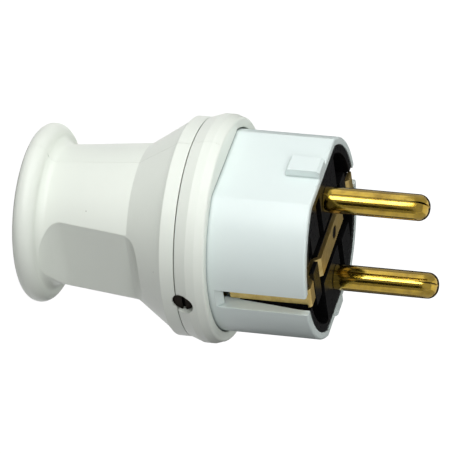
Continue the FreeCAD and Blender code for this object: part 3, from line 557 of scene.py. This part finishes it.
edge_height = add(screw_tree, "ShaderNodeMath", {0: sizes["Head Height"], 1: HEAD_EDGE}, operation="MULTIPLY")
plain_height = add(screw_tree, "ShaderNodeMath", {0: sizes["Head Height"], 1: edge_height},
                   operation="SUBTRACT")
head = add(screw_tree, "GeometryNodeMeshCylinder", {"Vertices": HEAD_SIDES, "Radius": sizes["Head Radius"],
                                                    "Depth": plain_height})
head_middle = add(screw_tree, "ShaderNodeMath", {0: plain_height, 1: -0.5}, operation="MULTIPLY")
head_place = add(screw_tree, "ShaderNodeCombineXYZ", {"Z": head_middle})
head_down = add(screw_tree, "GeometryNodeTransform", {"Geometry": head, "Translation": head_place})

edge_radius = add(screw_tree, "ShaderNodeMath", {0: sizes["Head Radius"], 1: HEAD_TAPER}, operation="MULTIPLY")
head_edge = add(screw_tree, "GeometryNodeMeshCone", {"Vertices": HEAD_SIDES, "Radius Top": sizes["Head Radius"],
                                                     "Radius Bottom": edge_radius, "Depth": edge_height})
head_end = add(screw_tree, "ShaderNodeMath", {0: sizes["Head Height"], 1: -1.0}, operation="MULTIPLY")
edge_place = add(screw_tree, "ShaderNodeCombineXYZ", {"Z": head_end})
edge_down = add(screw_tree, "GeometryNodeTransform", {"Geometry": head_edge, "Translation": edge_place})
print("nodes up to the head:", len(screw_tree.nodes))

# %% The screw's driver slot
SLOT_REACH = 3.0  # length of the block that cuts the slot, in head radii, so that it goes right across

slot_length = add(screw_tree, "ShaderNodeMath", {0: sizes["Head Radius"], 1: SLOT_REACH}, operation="MULTIPLY")
slot_height = add(screw_tree, "ShaderNodeMath", {0: sizes["Slot Depth"], 1: 2.0}, operation="MULTIPLY")
slot_size = add(screw_tree, "ShaderNodeCombineXYZ", {"X": slot_length, "Y": sizes["Slot Width"],
                                                     "Z": slot_height})
slot_block = add(screw_tree, "GeometryNodeMeshCube", {"Size": slot_size})
slot_down = add(screw_tree, "GeometryNodeTransform", {"Geometry": slot_block, "Translation": edge_place})
whole = add(screw_tree, "GeometryNodeMeshBoolean", operation="UNION", solver="EXACT")
for solid in (core_up, head_down, edge_down):
    screw_tree.links.new(solid.outputs[0], whole.inputs["Mesh 2"])
slotted = add(screw_tree, "GeometryNodeMeshBoolean", {"Mesh 1": whole, "Mesh 2": slot_down},
              operation="DIFFERENCE", solver="EXACT")
print("nodes up to the slot:", len(screw_tree.nodes))

# %% The screw's thread
RIDGE_SHARE = 0.6  # radius of the thread's round section, as a share of the thread's depth
RIDGE_SIDES = 6
TURN_STEPS = 24

ridge_radius = add(screw_tree, "ShaderNodeMath", {0: sizes["Thread Depth"], 1: RIDGE_SHARE},
                   operation="MULTIPLY")
helix_radius = add(screw_tree, "ShaderNodeMath", {0: sizes["Thread Radius"], 1: ridge_radius},
                   operation="SUBTRACT")
helix_height = add(screw_tree, "ShaderNodeMath", {0: sizes["Thread Length"], 1: sizes["Thread Pitch"]},
                   operation="SUBTRACT")
turns = add(screw_tree, "ShaderNodeMath", {0: helix_height, 1: sizes["Thread Pitch"]}, operation="DIVIDE")
helix = add(screw_tree, "GeometryNodeCurveSpiral", {"Resolution": TURN_STEPS, "Rotations": turns,
                                                    "Start Radius": helix_radius, "End Radius": helix_radius,
                                                    "Height": helix_height})
half_pitch = add(screw_tree, "ShaderNodeMath", {0: sizes["Thread Pitch"], 1: 0.5}, operation="MULTIPLY")
helix_place = add(screw_tree, "ShaderNodeCombineXYZ", {"Z": half_pitch})
helix_up = add(screw_tree, "GeometryNodeTransform", {"Geometry": helix, "Translation": helix_place})
ridge = add(screw_tree, "GeometryNodeCurvePrimitiveCircle", {"Resolution": RIDGE_SIDES, "Radius": ridge_radius})
thread = add(screw_tree, "GeometryNodeCurveToMesh", {"Curve": helix_up, "Profile Curve": ridge,
                                                     "Fill Caps": True})
screw_parts = add(screw_tree, "GeometryNodeJoinGeometry")
for solid in (slotted, thread):
    screw_tree.links.new(solid.outputs[0], screw_parts.inputs[0])
solid_screw = add(screw_tree, "GeometryNodeRealizeInstances", {"Geometry": screw_parts})
screw_finish = add(screw_tree, "GeometryNodeSetMaterial", {"Geometry": solid_screw,
                                                           "Material": sizes["Finish"]})
add(screw_tree, "NodeGroupOutput", {"Geometry": screw_finish})
print("screw tree nodes:", len(screw_tree.nodes))

# %% The seven screws
DRIVER_SLOT_MM = (0.6, 0.7)  # width and depth
THREAD_MM = (0.5, 0.18)  # pitch and depth, as on an M2.5 screw
SCREWS = [  # CAD node, direction from head to tip, head radius, head height, thread radius
    ("live_terminal_screw", (0, -1, 0), 2.1, 1.6, 1.2),
    ("neutral_terminal_screw", (0, -1, 0), 2.1, 1.6, 1.2),
    ("earth_screw", (0, 0, 1), 2.1, 1.5, 1.2),
    ("cord_clamp_screw_near", (0, -1, 0), 1.7, 1.2, 1.2),
    ("cord_clamp_screw_far", (0, -1, 0), 1.7, 1.2, 1.2),
    ("carrier_screw_near", (0, 0, 1), 2.3, 1.7, 1.3),
    ("carrier_screw_far", (0, 0, 1), 2.3, 1.7, 1.3),
]


def threaded_screw(node_name, towards_tip, head_radius, head_height, thread_radius):
    """One screw from the tree, in the place of its CAD node."""
    low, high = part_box(node_name)
    towards_tip = Vector(towards_tip)
    along = sum(abs(component) * (high - low)[i] for i, component in enumerate(towards_tip)) / MM
    seat = (low + high) / 2 - towards_tip * (along / 2 - head_height) * MM
    values = [thread_radius, along - head_height, THREAD_MM[0], THREAD_MM[1], head_radius, head_height,
              DRIVER_SLOT_MM[0], DRIVER_SLOT_MM[1]]
    rough = bpy.data.objects.new(node_name + "_rough", bpy.data.meshes.new(node_name + "_rough"))
    modifier = rough.modifiers.new("screw", "NODES")
    modifier.node_group = screw_tree
    for size_name, value in zip(SCREW_SIZES, values):
        modifier[sockets[size_name].identifier] = value * MM
    modifier[sockets["Finish"].identifier] = finish_of_slot[slot_of_node[node_name]]
    bpy.context.scene.collection.objects.link(rough)
    piece = finished(rough, node_name + "_threaded", slot_of_node[node_name], node_name)
    piece.data.transform(Matrix.Translation(seat) @ towards_tip.to_track_quat("Z", "Y").to_matrix().to_4x4())
    piece.data.shade_smooth()
    piece.data.set_sharp_from_angle(angle=SMOOTH_ANGLE)
    return piece


for row in SCREWS:
    threaded_screw(*row)

# %% [markdown]
# ## Mould lines
#
# The halves of the moulding tool meet along the plug's two sides, and leave a faint raised line there. The
# line follows the surface, so a second tree casts a straight row of points onto the grip or the collar and
# gives the path a thin round section that is almost sunk in the plastic.

# %% The mould line tree
LINE_INPUTS = [  # name and kind of each input
    ("Surface", "NodeSocketObject"), ("Start", "NodeSocketVector"), ("End", "NodeSocketVector"),
    ("Inward", "NodeSocketVector"), ("Line Radius", "NodeSocketFloat"), ("Points", "NodeSocketInt"),
    ("Finish", "NodeSocketMaterial"),
]
CAST_LENGTH = 1.0  # metres, further than any surface is
LINE_SUNK = -0.55  # how deep the section's middle lies, in its radii
LINE_SIDES = 10

line_tree = bpy.data.node_groups.new("mould_line", "GeometryNodeTree")
line_tree.is_modifier = True
line_sockets = {}
for socket_name, kind in LINE_INPUTS:
    line_sockets[socket_name] = line_tree.interface.new_socket(socket_name, in_out="INPUT", socket_type=kind)
line_tree.interface.new_socket("Geometry", in_out="OUTPUT", socket_type="NodeSocketGeometry")
given = add(line_tree, "NodeGroupInput").outputs
surface = add(line_tree, "GeometryNodeObjectInfo", {"Object": given["Surface"]})
straight = add(line_tree, "GeometryNodeCurvePrimitiveLine", {"Start": given["Start"], "End": given["End"]})
row_of_points = add(line_tree, "GeometryNodeResampleCurve", {"Curve": straight, "Count": given["Points"]})
cast = add(line_tree, "GeometryNodeRaycast", {"Target Geometry": surface.outputs["Geometry"],
                                              "Ray Direction": given["Inward"], "Ray Length": CAST_LENGTH})
out_by_radius = add(line_tree, "ShaderNodeVectorMath", {0: cast.outputs["Hit Normal"],
                                                        "Scale": given["Line Radius"]}, operation="SCALE")
sunk = add(line_tree, "ShaderNodeVectorMath", {0: out_by_radius, "Scale": LINE_SUNK}, operation="SCALE")
on_surface = add(line_tree, "ShaderNodeVectorMath", {0: cast.outputs["Hit Position"], 1: sunk})
laid = add(line_tree, "GeometryNodeSetPosition", {"Geometry": row_of_points, "Position": on_surface})
section = add(line_tree, "GeometryNodeCurvePrimitiveCircle", {"Resolution": LINE_SIDES,
                                                              "Radius": given["Line Radius"]})
ridge_line = add(line_tree, "GeometryNodeCurveToMesh", {"Curve": laid, "Profile Curve": section,
                                                        "Fill Caps": True})
real_line = add(line_tree, "GeometryNodeRealizeInstances", {"Geometry": ridge_line})
line_finish = add(line_tree, "GeometryNodeSetMaterial", {"Geometry": real_line, "Material": given["Finish"]})
add(line_tree, "NodeGroupOutput", {"Geometry": line_finish})
print("mould line tree nodes:", len(line_tree.nodes))

# %% The four mould lines
LINE_RADIUS_MM = 0.06
LINE_POINTS = 140
FAR_OUT_MM = 40.0  # from where the points are cast inwards
MOULD_LINES = [  # piece name, surface, side, from and to heights in millimetres
    ("grip_mould_line_live", grip, 1, 0.6, 31.7),
    ("grip_mould_line_neutral", grip, -1, 0.6, 31.7),
    ("collar_mould_line_live", collar, 1, 32.3, 37.2),
    ("collar_mould_line_neutral", collar, -1, 32.3, 37.2),
]
for piece_name, surface_piece, side, start, end in MOULD_LINES:
    rough = bpy.data.objects.new(piece_name, bpy.data.meshes.new(piece_name + "_rough"))
    modifier = rough.modifiers.new("line", "NODES")
    modifier.node_group = line_tree
    line_values = {
        "Surface": surface_piece, "Start": (FAR_OUT_MM * side * MM, 0, start * MM),
        "End": (FAR_OUT_MM * side * MM, 0, end * MM), "Inward": (-side, 0, 0),
        "Line Radius": LINE_RADIUS_MM * MM, "Points": LINE_POINTS, "Finish": cover_abs,
    }
    for socket_name, value in line_values.items():
        modifier[line_sockets[socket_name].identifier] = value
    bpy.context.scene.collection.objects.link(rough)
    finished(rough, piece_name, "cover_plastic")

# %% [markdown]
# ## Camera
#
# The camera was fitted to the outlines of the pins, the rim and the grip: a long lens, 15 degrees off the
# face. Its place is worked out from the plug's axis as it lies in the picture, so that each number has a
# meaning: how far the axis leans to the viewer, how much it slopes, and how far the pins are turned about
# it.

# %% The camera of the photograph
IMAGE_SIDE = 454  # pixels
FOCAL_PIXELS = 4000.0
SENSOR_MM = 36.0
NEAREST_MM = 10.0  # nothing nearer is drawn
DISTANCE_MM = 720.17
TILT = math.radians(15.41)  # how far the plug's axis leans towards the camera
SLOPE = math.radians(5.3)  # how far its picture slopes down to the right
ROLL = math.radians(43.7)  # turn of the pins about the axis
RIM_OFFSET_MM = (18.81, -2.05)  # centre of the shell's rim, right of and above the view's middle

axis = Vector((math.cos(TILT) * math.cos(SLOPE), -math.cos(TILT) * math.sin(SLOPE), math.sin(TILT)))
up = Vector((math.sin(SLOPE), math.cos(SLOPE), 0.0))
across = axis.cross(up)
pin_direction = up * math.cos(ROLL) + across * math.sin(ROLL)
earth_direction = axis.cross(pin_direction)
turn = Matrix((pin_direction, earth_direction, axis))
rim_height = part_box("front_shell")[1].z
eye = turn @ -Vector((RIM_OFFSET_MM[0] * MM, RIM_OFFSET_MM[1] * MM, -DISTANCE_MM * MM))
eye.z += rim_height

lens = bpy.data.cameras.new("photo_camera")
lens.sensor_width = SENSOR_MM
lens.lens = FOCAL_PIXELS / IMAGE_SIDE * SENSOR_MM
lens.clip_start = NEAREST_MM * MM
camera = bpy.data.objects.new("photo_camera", lens)
camera.matrix_world = Matrix.Translation(eye) @ turn.to_4x4()
bpy.context.scene.collection.objects.link(camera)
bpy.context.scene.camera = camera
print("camera at", [round(c / MM, 1) for c in eye], "mm, lens", round(lens.lens, 1), "mm")

# %% [markdown]
# ## White floor
#
# The plug was photographed on pure white. The floor glows white for the camera and for reflections, and its
# paper takes the plug's faint shadow. To the plug itself it gives only a little light, most of it close by,
# as a sheet of paper does. Directions are named as in the picture, because the plug stands upright here and
# lies level there.

# %% Directions in the picture
to_camera = (turn @ Vector((0, 0, 1))).normalized()
picture_up = (turn @ Vector((0, 1, 0))).normalized()


def level(direction):
    """A direction without its rise, because the lamps and cards stand upright on the floor."""
    return Vector((direction.x, direction.y, 0)).normalized()


def round_plug(angle):
    """The level direction at an angle from the camera's side towards what is up in the picture."""
    return level(to_camera) * math.cos(angle) + level(picture_up) * math.sin(angle)


print("to the camera", [round(c, 2) for c in to_camera], "up in the picture", [round(c, 2) for c in picture_up])

# %% Helpers for the stage
PURE_WHITE = linear("#FFFFFF")


def panel(name, centre, facing, width, height, material):
    """A flat rectangle that faces a direction, with its place in its mesh."""
    mesh = bpy.data.meshes.new(name)
    made = bmesh.new()
    bmesh.ops.create_grid(made, x_segments=1, y_segments=1, size=0.5)
    stand = Vector(facing).to_track_quat("Z", "Y").to_matrix().to_4x4()
    made.transform(Matrix.Translation(centre) @ stand @ Matrix.Diagonal((width, height, 1, 1)))
    made.to_mesh(mesh)
    made.free()
    mesh.materials.append(material)
    thing = bpy.data.objects.new(name, mesh)
    bpy.context.scene.collection.objects.link(thing)
    return thing


def seen_directly(tree):
    """One for what the camera sees, straight, mirrored or through glass, and zero for the light on the plug."""
    path = add(tree, "ShaderNodeLightPath").outputs
    seen = add(tree, "ShaderNodeMath", {0: path["Is Camera Ray"], 1: path["Is Glossy Ray"]}, operation="ADD")
    return add(tree, "ShaderNodeMath", {0: seen, 1: path["Is Transmission Ray"]}, operation="ADD",
               use_clamp=True)


# %% Floor
FLOOR_GLOW = 0.97  # the rest of the white comes from the light that falls on the floor
FLOOR_LIGHT = (0.20, 0.08)  # what the floor gives the plug, beside it and further out
FLOOR_LIGHT_MM = (20, 90)  # where it is that bright, from the plug's axis
FLOOR_PAPER = "#6A6A6A"
FLOOR_MM = 12000
FLOOR_DROP_MM = 0.02  # keeps the floor out of the plane of the flange's flat back

white_floor = bpy.data.materials.new("paper_white_floor")
white_floor.use_nodes = True
tree = white_floor.node_tree
tree.nodes.clear()
spot = add(tree, "ShaderNodeTexCoord").outputs["Object"]
far_out = add(tree, "ShaderNodeVectorMath", {0: spot}, operation="LENGTH")
given_light = add(tree, "ShaderNodeMapRange", {
    "Value": far_out.outputs["Value"], "From Min": FLOOR_LIGHT_MM[0] * MM, "From Max": FLOOR_LIGHT_MM[1] * MM,
    "To Min": FLOOR_LIGHT[0], "To Max": FLOOR_LIGHT[1]})
strength = add(tree, "ShaderNodeMapRange", {"Value": seen_directly(tree), "To Min": given_light,
                                            "To Max": FLOOR_GLOW})
glow = add(tree, "ShaderNodeEmission", {"Color": PURE_WHITE, "Strength": strength})
paper = add(tree, "ShaderNodeBsdfDiffuse", {"Color": linear(FLOOR_PAPER)})
both = add(tree, "ShaderNodeAddShader", {0: glow, 1: paper})
add(tree, "ShaderNodeOutputMaterial", {"Surface": both})
panel("floor", Vector((0, 0, -FLOOR_DROP_MM * MM)), (0, 0, 1), FLOOR_MM * MM, FLOOR_MM * MM, white_floor)
print("floor side:", FLOOR_MM, "mm")

# %% [markdown]
# ## Reflection cards
#
# Brass only looks like brass when it has light and dark to reflect, so a ring of cards stands round the
# plug as in a studio: a narrow bright strip beside the camera, a black one on its other side, and greys for
# the rest. They are seen in reflections only, so they neither light the plug nor shade it.

# %% Cards
RING_MM = 150  # the ring's radius
RING = [  # from and to angles round the plug, brightness, foot and top in millimetres
    (-135, -105, 0.15, 4, 48),
    (-105, -55, 0.66, 4, 48),
    (-55, -34, 0.30, 4, 48),
    (-34, -12, 0.02, 4, 48),
    (-12, 6, 0.30, 4, 48),
    (6, 32, 7.0, 17, 42),
    (32, 55, 0.80, 4, 48),
    (55, 100, 1.15, 4, 48),
    (100, 135, 0.45, 4, 48),
    (135, 225, 0.04, 4, 160),
    (-135, -46, 0.50, 48, 240),
    (-44, 44, 0.50, 48, 240),
    (46, 134, 0.50, 48, 240),
]
for start_angle, end_angle, brightness, foot, top in RING:
    glow_card = bpy.data.materials.new("card_paper_%d_%d" % (start_angle, foot))
    glow_card.use_nodes = True
    tree = glow_card.node_tree
    tree.nodes.clear()
    lit = add(tree, "ShaderNodeEmission", {"Color": PURE_WHITE, "Strength": brightness})
    add(tree, "ShaderNodeOutputMaterial", {"Surface": lit})
    half = math.radians((end_angle - start_angle) / 2)
    direction = round_plug(math.radians((start_angle + end_angle) / 2))
    centre = direction * RING_MM * MM * math.cos(half) + Vector((0, 0, (foot + top) / 2 * MM))
    card_width = 2 * RING_MM * MM * math.sin(half)
    card = panel("ring_card_%d_%d" % (start_angle, foot), centre, -direction, card_width, (top - foot) * MM,
                 glow_card)
    card.visible_camera = False
    card.visible_diffuse = False
    card.visible_shadow = False
print("ring cards:", len(RING))

# %% [markdown]
# ## World
#
# In the photograph the light comes from above and a little from the front, which is a level direction here,
# and the plug's lower side is left in soft shade. The world is white where it is seen, and lights the plug
# more from that side than from the other. A world of one brightness would wash out the facets.

# %% World
AMBIENT = (0.065, 0.30)  # away from the light's side, and towards it
UPWARD_SHARE = 0.8  # of what is up in the picture
FORWARD_SHARE = 0.5  # of the camera's side
FLOOR_SHARE = 0.4  # of the floor's side
light_side = level(picture_up) * UPWARD_SHARE + level(to_camera) * FORWARD_SHARE
light_side = (light_side - Vector((0, 0, FLOOR_SHARE))).normalized()

world = bpy.data.worlds.new("studio")
bpy.context.scene.world = world
world.use_nodes = True
tree = world.node_tree
tree.nodes.clear()
towards = add(tree, "ShaderNodeTexCoord").outputs["Generated"]
facing = add(tree, "ShaderNodeVectorMath", {0: towards, 1: light_side}, operation="DOT_PRODUCT")
ambient = add(tree, "ShaderNodeMapRange", {"Value": facing.outputs["Value"], "From Min": -1.0,
                                           "To Min": AMBIENT[0], "To Max": AMBIENT[1]})
bright = add(tree, "ShaderNodeMapRange", {"Value": seen_directly(tree), "To Min": ambient, "To Max": 1.0})
sky = add(tree, "ShaderNodeBackground", {"Color": PURE_WHITE, "Strength": bright})
add(tree, "ShaderNodeOutputWorld", {"Surface": sky})
print("light comes most from", [round(c, 2) for c in light_side])

# %% [markdown]
# ## Lamps
#
# A strip close to the plug lights what is up in the picture and shapes the grip. A wide, high fill stands
# on the camera's side, a second fill keeps the back from turning grey in other views, and a box overhead
# lights the face. The cards already give the metal its highlights, so no lamp shows in a reflection.

# %% Lamps
LAMPS = [  # name, direction, distance, height, width and tallness in millimetres, watts
    ("key_strip", round_plug(math.radians(47)), 165, 60, 85, 110, 0.145),
    ("front_fill", round_plug(0), 600, 360, 400, 200, 2.1),
    ("back_fill", round_plug(math.radians(162)), 600, 150, 300, 200, 2.6),
    ("overhead_box", Vector((0, 0, 1)), 700, 60, 500, 500, 0.6),
]
for name, direction, distance_mm, height_mm, width_mm, tall_mm, watts in LAMPS:
    light = bpy.data.lights.new(name, "AREA")
    light.shape = "RECTANGLE"
    light.size = width_mm * MM
    light.size_y = tall_mm * MM
    light.energy = watts
    lamp = bpy.data.objects.new(name, light)
    place = direction.normalized() * distance_mm * MM + Vector((0, 0, height_mm * MM))
    lamp.matrix_world = Matrix.Translation(place) @ direction.to_track_quat("Z", "Y").to_matrix().to_4x4()
    lamp.visible_camera = False
    lamp.visible_glossy = False
    bpy.context.scene.collection.objects.link(lamp)
bpy.context.scene.view_settings.view_transform = "Standard"
print("lamps:", [row[0] for row in LAMPS])
